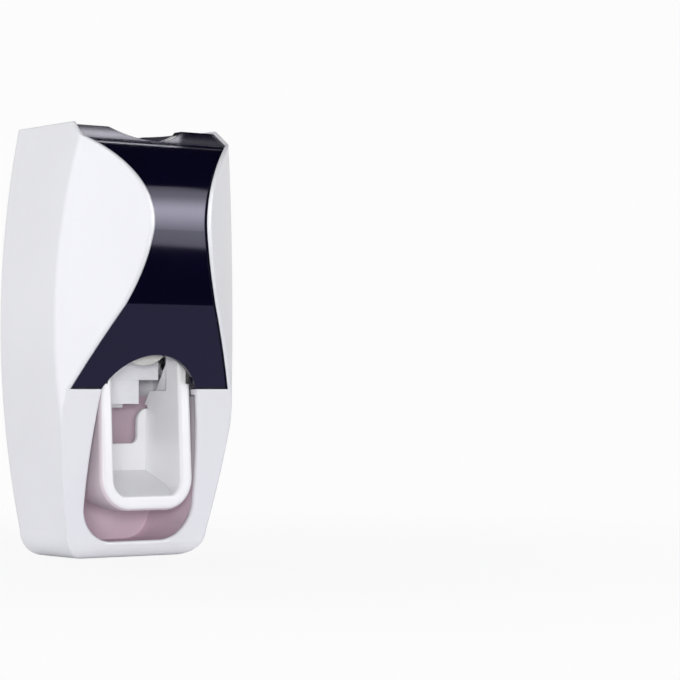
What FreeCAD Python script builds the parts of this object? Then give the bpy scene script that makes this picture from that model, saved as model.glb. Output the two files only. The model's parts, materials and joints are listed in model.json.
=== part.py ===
import FreeCAD, Part
import math
import os
import Sketcher

# Wall-mounted toothpaste dispenser with a push lever and a small hand pump.
# +Z is up, the front faces -Y and the wall is the plane Y = 0.
# The origin is the centre of the adhesive pad's back face.
# Heights in the table are above the housing's foot, and depths are from the wall.

DRIVING_SIZES = [
    # Housing
    ("housing_height", 160),
    ("housing_half_width", 39.1),
    ("widest_height", 85),
    ("top_half_width", 31.5),
    ("foot_side_half_width", 30.7),
    ("foot_corner", 10),
    ("foot_round", 5),
    ("back_gap", 0.6),
    ("foot_depth", 32.9),
    ("edge_depth", 43.2),
    ("trim_foot_height", 62.5),
    ("straight_top_depth", 57),
    ("straight_rise", 30.5),
    ("nose_lower_depth", 61.1),
    ("nose_depth", 63.4),
    ("nose_upper_depth", 60.1),
    ("nose_top_depth", 47),
    ("nose_top_drop", 5.8),
    ("roof_front_depth", 39.4),
    ("wing_start_depth", 37.7),
    ("wing_middle_half_width", 28.3),
    ("wing_middle_depth", 50.8),
    ("wing_end_half_width", 11.1),
    ("edge_round", 3.5),
    ("side_overrun", 2),
    ("nose_overrun", 1.6),
    ("wall", 2.2),
    ("overrun", 1),
    ("seam", 0.3),
    ("running_gap", 0.05),
    # Front trim and top collar
    ("trim_recess", 0.9),
    ("trim_thickness", 1.8),
    ("trim_lip", 1.1),
    ("trim_ledge_side_gap", 3.4),
    ("trim_ledge_rise", 21.5),
    ("trim_peg_radius", 1.4),
    ("trim_peg_length", 3),
    ("trim_peg_half_spacing", 14),
    ("trim_peg_rise", 25.5),
    ("collar_seam_drop", 6.4),
    ("scoop_radius", 28),
    ("scoop_dip", 5),
    ("opening_half_width", 21),
    ("opening_back_depth", 9),
    ("opening_front_depth", 38),
    ("opening_wall", 1.6),
    ("opening_wall_drop", 12),
    # Recess in the front
    ("recess_half_width", 20.8),
    ("recess_floor_height", 6.2),
    ("recess_corner", 13.5),
    ("recess_middle_half_width", 24),
    ("recess_edge_round", 1),
    ("arch_rise", 12.5),
    ("backing_thickness", 1.2),
    ("backing_side_margin", 1.4),
    ("recess_cut_depth", 22),
    ("backing_corner", 12),
    # Wall plate
    ("pad_thickness", 1),
    ("pad_half_width", 16.5),
    ("pad_half_height", 22),
    ("plate_thickness", 2),
    ("plate_half_width", 18),
    ("plate_half_height", 24),
    ("plate_corner", 4),
    ("plate_centre_lift", 0.75),
    ("hook_half_spacing", 9.5),
    ("hook_neck_half_width", 2.5),
    ("hook_head_half_width", 4.5),
    ("hook_height", 8),
    ("hook_drop", 2),
    ("hook_head_thickness", 1.8),
    ("lift_travel", 8.8),
    ("plate_play", 0.8),
    # Rear cover
    ("cover_fit", 0.15),
    ("pan_wall", 1.6),
    ("pan_floor", 2),
    ("pan_floor_depth", 3.6),
    ("post_radius", 3.2),
    ("post_half_spacing", 27),
    ("post_fall", 12),
    ("post_rise", 23),
    ("corner_boss_radius", 3),
    ("corner_boss_depth", 18),
    ("corner_boss_rib", 2),
    ("corner_boss_foot_rise", 1.5),
    ("corner_boss_foot_inset", 9.1),
    ("corner_boss_top_drop", 16),
    ("corner_boss_top_gap", 0.4),
    # Pump bracket
    ("bracket_gap", 0.5),
    ("bracket_thickness", 2),
    ("bracket_half_width", 30.6),
    ("bracket_fall", 16),
    ("bracket_rise", 27),
    ("window_half_width", 14.6),
    ("cheek_side_gap", 0.6),
    ("cheek_thickness", 2.4),
    ("cheek_fall", 7),
    ("cheek_reach", 5.5),
    # Lever
    ("pivot_depth", 32),
    ("pivot_rise", 20),
    ("pin_radius", 2),
    ("pin_overhang", 0.2),
    ("pin_head_radius", 3.4),
    ("pin_head", 1.2),
    ("lever_side_gap", 0.7),
    ("lever_foot_height", 17.6),
    ("lever_corner", 12),
    ("lever_rim", 5.5),
    ("lever_outer_round", 1.8),
    ("lever_inner_round", 1.2),
    ("lever_rim_foot_depth", 42.2),
    ("lever_rim_top_depth", 39.2),
    ("cup_top_fall", 10),
    ("arm_gap_fall", 22),
    ("arm_gap_front_depth", 31),
    ("cup_back_depth", 17),
    ("cup_back_wall", 1.8),
    ("cup_back_clearance", 1.5),
    ("cup_back_foot_height", 25.5),
    ("cup_floor", 5.2),
    ("cup_floor_slope", 9),
    ("notch_half_width", 11),
    ("notch_depth", 13.5),
    ("notch_corner", 3),
    ("notch_flare", 5),
    ("arm_thickness", 2.8),
    ("arm_back_depth", 26.5),
    ("arm_back_fall", 12),
    ("pivot_boss_radius", 5.5),
    ("push_bar_depth", 42),
    ("pump_rise", 21.5),
    ("push_bar_radius", 1.5),
    ("push_bar_boss_radius", 4),
    ("sleeve_radius", 3),
    ("sleeve_half_length", 10),
    # Pump
    ("pump_half_width", 16),
    ("pump_fall", 18),
    ("pump_front_depth", 23.6),
    ("pump_back_gap", 0.2),
    ("deck_half_width", 14.6),
    ("deck_thickness", 6),
    ("deck_rise", 20),
    ("deck_front_depth", 39.5),
    ("ear_half_width", 23.6),
    ("ear_fall", 14),
    ("ear_rise", 12.8),
    ("bore_radius", 10),
    ("bore_boss_radius", 13),
    ("bore_boss_depth", 26),
    ("piston_back_depth", 20),
    ("piston_disc", 4.4),
    ("piston_fit", 0.3),
    ("piston_stem_radius", 4),
    ("piston_head_radius", 12.6),
    ("piston_head", 2),
    ("ring_wire_radius", 0.8),
    ("ring_fit", 0.08),
    ("end_cap_half_width", 14),
    ("end_cap_thickness", 2),
    ("gasket_groove", 0.8),
    ("gasket_width", 1.6),
    ("spring_radius", 11.2),
    ("spring_wire_radius", 0.5),
    ("inlet_depth", 17.6),
    ("inlet_hole_radius", 2.4),
    ("inlet_pocket_radius", 4.6),
    ("inlet_seat_rise", 13),
    ("channel_radius", 1.8),
    ("channel_rise", 17),
    ("flap_radius", 4.2),
    ("flap_thickness", 0.8),
    ("flap_stem_radius", 1),
    ("flap_stem", 2.6),
    ("outlet_hole_radius", 3),
    # Nozzle
    ("nozzle_half_width", 7.3),
    ("nozzle_back_depth", 9),
    ("nozzle_length", 9),
    ("nozzle_hole_radius", 3.6),
    ("duckbill_flange_radius", 5),
    ("duckbill_flange", 1.4),
    ("duckbill_radius", 3.4),
    ("duckbill_round_length", 6),
    ("duckbill_length", 10.4),
    ("duckbill_lip_half", 0.5),
    # Tube socket
    ("tube_depth", 26),
    ("socket_flange_radius", 12.6),
    ("socket_flange", 2.4),
    ("socket_radius", 9.4),
    ("socket_length", 17),
    ("socket_bore_radius", 6.6),
    ("socket_floor", 2),
    ("ring_half_width", 14.2),
    ("ring_cover", 1.8),
    ("shelf_rise", 13),
    ("shelf_thickness", 3),
    ("shelf_hole_radius", 10.2),
    ("shelf_cone_radius", 16),
    ("shelf_front_depth", 52),
    ("shelf_tongue_half_width", 18.5),
    ("shelf_post_radius", 2.6),
    # Stop pads and screws
    ("stop_pad_inset", 0.6),
    ("stop_pad_width", 2),
    ("stop_pad_rise", 2),
    ("stop_pad_height", 6),
    ("screw_head_radius", 2.4),
    ("screw_head", 1.6),
    ("screw_radius", 1.3),
    ("screw_length", 8),
    ("short_screw_length", 5.5),
    ("screw_slot", 0.7),
    ("ear_screw_half_spacing", 20.4),
    ("ear_screw_fall", 10),
    ("ear_screw_rise", 8.6),
    ("cap_screw_half_spacing", 11.6),
    ("ring_screw_half_spacing", 11.6),
]

# Shares and plain counts
HALF = 0.5
QUARTER_TURN = 90
FULL_TURN = 360
DIAGONAL_SHARE = math.sqrt(HALF)
CORNER_SHARE = 1 - DIAGONAL_SHARE
QUARTER_SHARE = HALF * HALF
NOSE_HEIGHT_SHARE = 0.446
NOSE_UPPER_SHARE = 0.55
SPRING_TURNS = 5
QUARTERS = 4


class Size:
    """A length that knows both its present value and the sheet expression behind it."""

    def __init__(self, value, text):
        self.value = float(value)
        self.text = text

    def _join(self, other, sign, value):
        other_text = other.text if isinstance(other, Size) else str(other)
        return Size(value, "(" + self.text + " " + sign + " " + other_text + ")")

    def __add__(self, other):
        return self._join(other, "+", self.value + number(other))

    def __sub__(self, other):
        return self._join(other, "-", self.value - number(other))

    def __mul__(self, other):
        return self._join(other, "*", self.value * number(other))

    def __truediv__(self, other):
        return self._join(other, "/", self.value / number(other))

    def __neg__(self):
        return Size(-self.value, "(0 - " + self.text + ")")

    __radd__ = __add__
    __rmul__ = __mul__


def number(size):
    """The plain number of a Size or of a number."""
    return size.value if isinstance(size, Size) else float(size)


class Names:
    """Holds each driving size under its own name."""


doc = FreeCAD.newDocument("toothpaste_dispenser")
sheet = doc.addObject("Spreadsheet::Sheet", "Sizes")
s = Names()
for row, (name, value) in enumerate(DRIVING_SIZES, start=1):
    sheet.set("A" + str(row), name)
    sheet.set("B" + str(row), str(value))
    sheet.setAlias("B" + str(row), name)
    setattr(s, name, Size(value, "Sizes." + name))
doc.recompute()

NONE = Size(0, "0")
SUB_PARTS = []

# Heights of the front's profile, from the trim's foot up to the roof
s.straight_top_height = s.trim_foot_height + s.straight_rise
s.nose_top_height = s.housing_height - s.nose_top_drop
s.nose_height = s.straight_top_height + (
    s.nose_top_height - s.straight_top_height) * NOSE_HEIGHT_SHARE
s.nose_lower_height = (s.straight_top_height + s.nose_height) * HALF
s.nose_upper_height = s.nose_height + (s.nose_top_height - s.nose_height) * NOSE_UPPER_SHARE
s.collar_seam_height = s.housing_height - s.collar_seam_drop
s.opening_wall_height = s.housing_height - s.opening_wall_drop
s.corner_boss_top_height = s.housing_height - s.corner_boss_top_drop
s.corner_boss_top_half_width = (
    s.top_half_width - s.wall - s.screw_head_radius - s.corner_boss_top_gap)
s.corner_boss_foot_height = s.trim_foot_height + s.corner_boss_foot_rise
s.corner_boss_foot_half_width = s.housing_half_width - s.corner_boss_foot_inset
s.plate_centre_height = (s.trim_foot_height + s.housing_height) * HALF + s.plate_centre_lift
s.foot_flat_half_width = s.foot_side_half_width - s.foot_corner
GROUND = -s.plate_centre_height

# Trim, arch and liner
s.lever_half_width = s.recess_half_width - s.lever_side_gap
s.trim_ledge_height = s.trim_foot_height + s.trim_ledge_rise
s.trim_ledge_half_width = s.lever_half_width + s.trim_ledge_side_gap
s.trim_peg_height = s.trim_foot_height + s.trim_peg_rise
s.arch_height = s.trim_foot_height + s.arch_rise
s.backing_half_width = s.recess_middle_half_width + s.backing_side_margin
s.backing_foot_height = s.recess_floor_height - s.wall

# Pump and bracket, which follow the height of the pump's axis
s.push_bar_height = s.trim_foot_height + s.pump_rise
s.pump_foot_height = s.push_bar_height - s.pump_fall
s.deck_top_height = s.push_bar_height + s.deck_rise
s.deck_foot_height = s.deck_top_height - s.deck_thickness
s.ear_foot_height = s.push_bar_height - s.ear_fall
s.ear_top_height = s.push_bar_height + s.ear_rise
s.ear_screw_foot_height = s.push_bar_height - s.ear_screw_fall
s.ear_screw_top_height = s.push_bar_height + s.ear_screw_rise
s.inlet_seat_height = s.push_bar_height + s.inlet_seat_rise
s.channel_height = s.push_bar_height + s.channel_rise
s.nozzle_foot_height = s.pump_foot_height - s.nozzle_length
s.duckbill_round_foot_height = s.pump_foot_height - s.duckbill_round_length
s.duckbill_foot_height = s.pump_foot_height - s.duckbill_length
s.socket_top_height = s.deck_top_height + s.socket_length
s.shelf_height = s.deck_top_height + s.shelf_rise
s.shelf_post_depth = s.corner_boss_depth + s.shelf_post_radius + s.seam
s.post_foot_height = s.push_bar_height - s.post_fall
s.post_top_height = s.push_bar_height + s.post_rise
s.bracket_foot_height = s.push_bar_height - s.bracket_fall
s.bracket_top_height = s.push_bar_height + s.bracket_rise
s.end_cap_foot_height = s.push_bar_height - s.end_cap_half_width
s.end_cap_top_height = s.push_bar_height + s.end_cap_half_width
s.window_foot_height = s.push_bar_height - s.window_half_width
s.window_top_height = s.push_bar_height + s.window_half_width
s.hook_head_back_depth = s.pan_floor_depth + s.pan_floor + s.seam
s.hook_head_front_depth = s.hook_head_back_depth + s.hook_head_thickness
s.bracket_back_depth = s.hook_head_front_depth + s.bracket_gap
s.bracket_front_depth = s.bracket_back_depth + s.bracket_thickness
s.pump_back_depth = s.bracket_front_depth + s.end_cap_thickness + s.pump_back_gap

# Lever, pins and stop pads
s.pivot_height = s.push_bar_height + s.pivot_rise
s.cheek_inner = s.lever_half_width + s.cheek_side_gap
s.cheek_foot_height = s.pivot_height - s.cheek_fall
s.cheek_front_depth = s.pivot_depth + s.cheek_reach
s.arm_inner = s.lever_half_width - s.arm_thickness
s.pin_inner = s.arm_inner - s.pin_overhang
s.cup_top_height = s.push_bar_height - s.cup_top_fall
s.arm_gap_foot_height = s.push_bar_height - s.arm_gap_fall
s.arm_back_foot_height = s.push_bar_height - s.arm_back_fall
s.cup_back_top_height = s.nozzle_foot_height - s.cup_back_clearance
s.cup_floor_front_height = s.lever_foot_height + s.cup_floor
s.cup_floor_back_height = s.cup_floor_front_height + s.cup_floor_slope
s.notch_foot_height = s.cup_back_top_height - s.notch_depth
s.stop_pad_foot_height = s.trim_foot_height + s.stop_pad_rise
s.stop_pad_top_height = s.stop_pad_foot_height + s.stop_pad_height
s.stop_pad_outer = s.lever_half_width - s.stop_pad_inset
s.rim_lean = (s.lever_rim_foot_depth - s.lever_rim_top_depth) / (
    s.cup_top_height - s.lever_foot_height)
s.stop_pad_back_depth = s.seam + s.lever_rim_top_depth + s.rim_lean * (
    s.cup_top_height - s.stop_pad_foot_height)


def bind(thing, prop, size):
    """Ties a property to the sheet."""
    thing.setExpression(prop, size.text)


def place(thing, x, y, z, rotation=None):
    """Puts a shape at a place, with the height given above the housing's foot."""
    if rotation is not None:
        thing.Placement = FreeCAD.Placement(FreeCAD.Vector(), rotation)
    bind(thing, "Placement.Base.x", x)
    bind(thing, "Placement.Base.y", y)
    bind(thing, "Placement.Base.z", z + GROUND)


def box(name, x, depth, z):
    """A block between two places across, two depths from the wall and two heights."""
    block = doc.addObject("Part::Box", name)
    bind(block, "Length", x[1] - x[0])
    bind(block, "Width", depth[1] - depth[0])
    bind(block, "Height", z[1] - z[0])
    place(block, x[0], -depth[1], z[0])
    return block


def across(half_width):
    """The two ends of a width that is centred on the part."""
    return (-half_width, half_width)


UPWARD = FreeCAD.Rotation()
FORWARD = FreeCAD.Rotation(FreeCAD.Vector(1, 0, 0), QUARTER_TURN)
SIDEWAYS = FreeCAD.Rotation(FreeCAD.Vector(0, 1, 0), QUARTER_TURN)


def rod(name, radius, length, x, depth, z, rotation):
    """A cylinder that starts at a place and runs up, forward or to +X."""
    cylinder = doc.addObject("Part::Cylinder", name)
    bind(cylinder, "Radius", radius)
    bind(cylinder, "Height", length)
    place(cylinder, x, -depth, z, rotation)
    return cylinder


def fuse(name, shapes):
    joined = doc.addObject("Part::MultiFuse", name)
    joined.Shapes = shapes
    joined.Refine = True
    return joined


def common(name, shapes):
    shared = doc.addObject("Part::MultiCommon", name)
    shared.Shapes = shapes
    return shared


def cut(name, base, tools):
    """Takes one or more tools off a base."""
    result = doc.addObject("Part::Cut", name)
    result.Base = base
    result.Tool = tools[0] if len(tools) == 1 else fuse(name + "_tools", tools)
    return result


def group(name, shapes):
    """Separate like pieces that share one node."""
    together = doc.addObject("Part::Compound", name)
    together.Links = shapes
    return together


def sub_part(name, thing):
    """Names a finished piece and keeps it for the export."""
    thing.Label = name
    SUB_PARTS.append(thing)
    return thing


def rounded(name, base, radius, wanted):
    """Rounds the edges of a shape that a test picks out."""
    doc.recompute()
    fillet = doc.addObject("Part::Fillet", name)
    fillet.Base = base
    fillet.Edges = [
        (index, radius.value, radius.value)
        for index, edge in enumerate(base.Shape.Edges, start=1)
        if wanted(edge)
    ]
    return fillet


def corner_constraints(sketch, edge, end, x, y):
    """Ties one end of an edge to its place from the sketch's origin."""
    for axis, size, line in (("DistanceX", x, -2), ("DistanceY", y, -1)):
        if size is NONE:
            sketch.addConstraint(Sketcher.Constraint("PointOnObject", edge, end, line))
        else:
            tie = Sketcher.Constraint(axis, -1, 1, edge, end, size.value)
            index = sketch.addConstraint(tie)
            sketch.setExpression("Constraints[" + str(index) + "]", size.text)


def draw(sketch, outline):
    """Draws a closed outline of corners, where a third entry marks a point that an arc passes."""
    corners = [place for place in range(len(outline)) if len(outline[place]) == 2]
    runs = []
    for position, first in enumerate(corners):
        last = corners[(position + 1) % len(corners)]
        steps = (last - first) % len(outline)
        via = outline[(first + 1) % len(outline)] if steps == 2 else None
        runs.append((outline[first], via, outline[last]))
    joints = []
    for start, via, end in runs:
        a = FreeCAD.Vector(start[0].value, start[1].value, 0)
        b = FreeCAD.Vector(end[0].value, end[1].value, 0)
        if via is None:
            edge = sketch.addGeometry(Part.LineSegment(a, b))
            joints.append((edge, 1, 2))
            continue
        m = FreeCAD.Vector(via[0].value, via[1].value, 0)
        leftward = (m - a).cross(b - m).z > 0
        arc = Part.Arc(a, m, b) if leftward else Part.Arc(b, m, a)
        edge = sketch.addGeometry(arc)
        joints.append((edge, 1, 2) if leftward else (edge, 2, 1))
        middle = sketch.addGeometry(Part.Point(m), True)
        corner_constraints(sketch, middle, 1, via[0], via[1])
        sketch.addConstraint(Sketcher.Constraint("PointOnObject", middle, 1, edge))
    for position, (edge, start_end, last_end) in enumerate(joints):
        after, after_start, after_end = joints[(position + 1) % len(joints)]
        sketch.addConstraint(Sketcher.Constraint("Coincident", edge, last_end, after, after_start))
        start = runs[position][0]
        corner_constraints(sketch, edge, start_end, start[0], start[1])


def body_sketch(body, role, outline):
    """A sketch on one of a body's own origin planes."""
    sketch = body.newObject("Sketcher::SketchObject", body.Name + "_outline")
    planes = [plane for plane in body.Origin.OriginFeatures if plane.Role == role]
    sketch.AttachmentSupport = [(planes[0], "")]
    sketch.MapMode = "FlatFace"
    draw(sketch, outline)
    return sketch


def padded(name, role, outline, length, x=NONE, depth=NONE, z=NONE):
    """A body padded from an outline: up from XY, forward from XZ, or to +X from YZ."""
    body = doc.addObject("PartDesign::Body", name)
    sketch = body_sketch(body, role, outline)
    pad = body.newObject("PartDesign::Pad", name + "_pad")
    pad.Profile = sketch
    bind(pad, "Length", length)
    place(body, x, -depth, z)
    return body


def turned(name, outline, x, depth, z, rotation=UPWARD):
    """A body turned about its own axis, from an outline of radii and heights."""
    body = doc.addObject("PartDesign::Body", name)
    sketch = body_sketch(body, "XZ_Plane", outline)
    turn = body.newObject("PartDesign::Revolution", name + "_turn")
    turn.Profile = sketch
    turn.ReferenceAxis = (sketch, ["V_Axis"])
    turn.Angle = FULL_TURN
    place(body, x, -depth, z, rotation)
    return body


def mirrored_outline(right_side):
    """Closes an outline with the mirror image of its right side, in reverse order."""
    left_side = [(-corner[0],) + tuple(corner[1:]) for corner in reversed(right_side)]
    return right_side + left_side


def rounded_rectangle(half_width, foot, top, corner):
    """An upright rectangle with four round corners."""
    near = corner * CORNER_SHARE
    right = [
        (half_width - corner, foot),
        (half_width - near, foot + near, "via"),
        (half_width, foot + corner),
        (half_width, top - corner),
        (half_width - near, top - near, "via"),
        (half_width - corner, top),
    ]
    return mirrored_outline(right)


def screw(name, length, x, depth, z, rotation):
    """A slotted pan-head screw whose head rests at the place and whose shank runs backward."""
    outline = [
        (NONE, s.screw_head),
        (NONE, -length),
        (s.screw_radius, -length),
        (s.screw_radius, NONE),
        (s.screw_head_radius, NONE),
        (s.screw_head_radius, s.screw_head),
    ]
    body = turned(name, outline, x, depth, z, rotation)
    slot_half = s.screw_slot * HALF
    slot = body_sketch(body, "XZ_Plane", [
        (-slot_half, s.screw_head * HALF),
        (slot_half, s.screw_head * HALF),
        (slot_half, s.screw_head + s.overrun),
        (-slot_half, s.screw_head + s.overrun),
    ])
    pocket = body.newObject("PartDesign::Pocket", name + "_slot")
    pocket.Profile = slot
    pocket.Midplane = True
    bind(pocket, "Length", s.screw_head_radius * 2 + s.overrun)
    return body


# Envelope of the housing: a plan, a side profile and a front outline that bound it together

def plan_sketch():
    """Seen from above: straight sides, two crowned wings and a flat nose."""
    sketch = doc.addObject("Sketcher::SketchObject", "plan_outline")
    reach = s.housing_half_width + s.side_overrun
    draw(sketch, mirrored_outline([
        (reach, s.side_overrun),
        (reach, -s.wing_start_depth),
        (s.wing_middle_half_width, -s.wing_middle_depth, "via"),
        (s.wing_end_half_width, -(s.nose_depth + s.nose_overrun)),
    ]))
    place(sketch, NONE, NONE, -s.side_overrun)
    return sketch


def profile_sketch():
    """Seen from the side: the front leans out to the nose and the roof falls to meet it."""
    sketch = doc.addObject("Sketcher::SketchObject", "profile_outline")
    lean = (s.edge_depth - s.foot_depth) / s.trim_foot_height
    near = s.foot_round * CORNER_SHARE
    draw(sketch, [
        (-s.back_gap, NONE),
        (-(s.foot_depth - s.foot_round), NONE),
        (-(s.foot_depth - near), near, "via"),
        (-(s.foot_depth + s.foot_round * lean), s.foot_round),
        (-s.edge_depth, s.trim_foot_height),
        (-s.straight_top_depth, s.straight_top_height),
        (-s.nose_lower_depth, s.nose_lower_height, "via"),
        (-s.nose_depth, s.nose_height),
        (-s.nose_upper_depth, s.nose_upper_height, "via"),
        (-s.nose_top_depth, s.nose_top_height),
        (-s.roof_front_depth, s.housing_height),
        (-s.back_gap, s.housing_height),
    ])
    facing_side = FreeCAD.Rotation(FreeCAD.Vector(1, 1, 1), QUARTER_TURN + QUARTER_TURN / 3)
    place(sketch, -(s.housing_half_width + s.side_overrun), NONE, NONE, facing_side)
    return sketch


def outline_sketch():
    """Seen from the front: a barrel, widest below the middle, with round lower corners."""
    sketch = doc.addObject("Sketcher::SketchObject", "front_outline")
    near = s.foot_corner * CORNER_SHARE
    draw(sketch, mirrored_outline([
        (s.foot_flat_half_width, NONE),
        (s.foot_side_half_width - near, near, "via"),
        (s.foot_side_half_width, s.foot_corner),
        (s.housing_half_width, s.widest_height, "via"),
        (s.top_half_width, s.housing_height),
        (s.top_half_width, s.housing_height + s.side_overrun),
    ]))
    place(sketch, NONE, s.side_overrun, NONE, FORWARD)
    return sketch


PLAN = plan_sketch()
PROFILE = profile_sketch()
OUTLINE = outline_sketch()
doc.recompute()


def prism(name, sketch, inset, corners, direction, length):
    """An outline, drawn in by an inset, pushed through the housing."""
    source = sketch
    if inset is not None:
        source = doc.addObject("Part::Offset2D", name + "_inset")
        source.Source = sketch
        source.Join = corners
        source.Value = -inset.value
        bind(source, "Value", -inset)
    push = doc.addObject("Part::Extrusion", name)
    push.Base = source
    push.DirMode = "Custom"
    push.Dir = direction
    push.Solid = True
    bind(push, "LengthFwd", length)
    return push


def plan_prism(name, inset=None):
    length = s.housing_height + s.side_overrun * 2
    return prism(name, PLAN, inset, "Intersection", FreeCAD.Vector(0, 0, 1), length)


def profile_prism(name, inset=None):
    length = (s.housing_half_width + s.side_overrun) * 2
    return prism(name, PROFILE, inset, "Intersection", FreeCAD.Vector(1, 0, 0), length)


def outline_prism(name, inset=None):
    length = s.nose_depth + s.nose_overrun + s.side_overrun * 2
    return prism(name, OUTLINE, inset, "Arc", FreeCAD.Vector(0, -1, 0), length)


WIDE = s.housing_half_width + s.side_overrun * 2
DEEP = s.nose_depth + s.nose_overrun * 2
TALL = s.housing_height + s.side_overrun * 2
BEHIND = -(s.side_overrun * 2)
SKIN_INSET = s.trim_recess + s.trim_thickness


def is_side_edge(edge):
    """The long upright edge between a side and its wing."""
    middle = edge.CenterOfMass
    tall = edge.BoundBox.ZLength > s.housing_height.value * HALF
    forward = -middle.y > s.wing_start_depth.value * HALF
    outward = abs(middle.x) > s.housing_half_width.value * HALF
    return tall and forward and outward


def is_recess_edge(edge):
    """An edge of the recess below the trim, in the housing's outer front face."""
    lean = (s.edge_depth.value - s.foot_depth.value) / s.trim_foot_height.value
    slack = s.seam.value
    for share in (0, HALF, 1):
        first, last = edge.ParameterRange
        point = edge.valueAt(first + (last - first) * share)
        height = point.z - GROUND.value
        front = s.foot_depth.value + lean * height
        below_trim = s.foot_round.value < height < s.trim_foot_height.value + slack
        beside_recess = abs(point.x) < s.recess_middle_half_width.value + slack
        if not (below_trim and beside_recess and abs(-point.y - front) < slack * HALF):
            return False
    return True


def skin_space(name):
    """The shallow space in the housing's front and roof that holds trim and collar."""
    inside_lips = common(name + "_inside_lips", [
        plan_prism(name + "_plan", s.trim_lip),
        outline_prism(name + "_outline", s.trim_lip),
        box(name + "_reach", across(WIDE), (s.back_gap + SKIN_INSET, DEEP),
            (s.trim_foot_height, TALL)),
    ])
    core = profile_prism(name + "_core", SKIN_INSET)
    return cut(name, inside_lips, [core])


def recess_outline():
    """The opening in the front: a deep U whose sides swell downward, with an arch over it."""
    near = s.recess_corner * CORNER_SHARE
    wide = s.recess_middle_half_width
    narrow = s.recess_half_width
    corner_top = s.recess_floor_height + s.recess_corner
    swell = wide - (wide - narrow) * QUARTER_SHARE
    swell_height = (corner_top + s.trim_foot_height) * HALF
    return [
        (-(wide - s.recess_corner), s.recess_floor_height),
        (wide - s.recess_corner, s.recess_floor_height),
        (wide - near, s.recess_floor_height + near, "via"),
        (wide, corner_top),
        (swell, swell_height, "via"),
        (narrow, s.trim_foot_height),
        (NONE, s.arch_height, "via"),
        (-narrow, s.trim_foot_height),
        (-swell, swell_height, "via"),
        (-wide, corner_top),
        (-(wide - near), s.recess_floor_height + near, "via"),
    ]


def recess_tool(name):
    return padded(name, "XZ_Plane", recess_outline(), DEEP - s.recess_cut_depth,
                  depth=s.recess_cut_depth)


def corner_places():
    """The four places where screws join the rear cover and the front housing."""
    return [
        (side, half_width, height)
        for side in (-1, 1)
        for half_width, height in (
            (s.corner_boss_foot_half_width, s.corner_boss_foot_height),
            (s.corner_boss_top_half_width, s.corner_boss_top_height),
        )
    ]


def make_front_housing():
    """White shell: sides, wings, foot, roof frame and the wall behind the trim."""
    outer = common("housing_outer", [
        plan_prism("outer_plan"), profile_prism("outer_profile"), outline_prism("outer_outline"),
    ])
    soft_outer = rounded("housing_soft", outer, s.edge_round, is_side_edge)
    low_profile = common("cavity_low_profile", [
        profile_prism("cavity_front", s.wall),
        box("cavity_low", across(WIDE), (BEHIND, DEEP),
            (NONE, s.trim_foot_height - s.wall)),
    ])
    cavity_profile = fuse("cavity_profile", [
        profile_prism("cavity_core", SKIN_INSET + s.wall), low_profile,
    ])
    cavity = common("housing_cavity", [
        plan_prism("cavity_plan", s.wall),
        outline_prism("cavity_outline", s.wall),
        cavity_profile,
    ])
    back_mouth = common("back_mouth", [
        outline_prism("mouth_outline", s.wall),
        box("mouth_reach", across(WIDE), (BEHIND, s.bracket_back_depth),
            (NONE, s.nose_top_height)),
    ])
    ledge_window = box("ledge_window", across(s.trim_ledge_half_width),
                       (s.edge_depth * HALF, DEEP),
                       (s.trim_foot_height, s.trim_ledge_height))
    roof_window = box("roof_window", across(s.opening_half_width + s.opening_wall + s.seam),
                      (s.opening_back_depth - s.opening_wall - s.seam, s.nose_top_depth),
                      (s.opening_wall_height, TALL))
    hollow = cut("housing_shell", soft_outer, [
        cavity, back_mouth, skin_space("skin_space"), ledge_window, roof_window,
        recess_tool("recess_cut"),
    ])
    cover_front = s.back_gap + s.wall
    bosses = []
    rib_half = s.corner_boss_rib * HALF
    for index, (side, half_width, height) in enumerate(corner_places()):
        end = "_" + str(index)
        bosses.append(rod("corner_boss" + end, s.corner_boss_radius,
                          s.corner_boss_depth - cover_front,
                          half_width * side, cover_front, height, FORWARD))
        reach = (half_width, WIDE) if side > 0 else (-WIDE, -half_width)
        bosses.append(box("corner_rib" + end, reach, (cover_front, s.corner_boss_depth),
                          (height - rib_half, height + rib_half)))
    solid_bosses = common("corner_bosses", [
        fuse("corner_boss_rods", bosses),
        outline_prism("boss_outline", s.wall * HALF),
    ])
    pilot = []
    for index, (side, half_width, height) in enumerate(corner_places()):
        pilot.append(rod("corner_pilot_" + str(index), s.screw_radius,
                         s.screw_length, half_width * side,
                         s.back_gap + s.screw_head, height, FORWARD))
    pegs = [
        peg("peg_hole" + end, side, s.trim_peg_radius + s.running_gap, s.trim_peg_length + s.seam)
        for side, end in ((-1, "_l"), (1, "_r"))
    ]
    shell = cut("housing_drilled", fuse("housing_with_bosses", [hollow, solid_bosses]),
                pilot + pegs)
    return sub_part("front_housing", rounded("front_housing", shell, s.recess_edge_round,
                                             is_recess_edge))


def peg(name, side, radius, reach):
    """A locating peg behind the trim that reaches an amount past the housing's wall."""
    shaft = rod(name + "_shaft", radius, s.nose_depth - s.edge_depth * HALF,
                s.trim_peg_half_spacing * side, s.edge_depth * HALF, s.trim_peg_height, FORWARD)
    front = common(name + "_front", [shaft, profile_prism(name + "_face", s.trim_recess * 2)])
    return cut(name, front, [profile_prism(name + "_back", SKIN_INSET + s.wall + reach)])


def skin(name):
    """The part of trim and collar that fills the skin space up to the trim recess."""
    full = common(name + "_full", [
        plan_prism(name + "_plan", s.trim_lip),
        outline_prism(name + "_outline", s.trim_lip),
        profile_prism(name + "_profile", s.trim_recess),
    ])
    return cut(name, full, [profile_prism(name + "_core", SKIN_INSET)])


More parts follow.
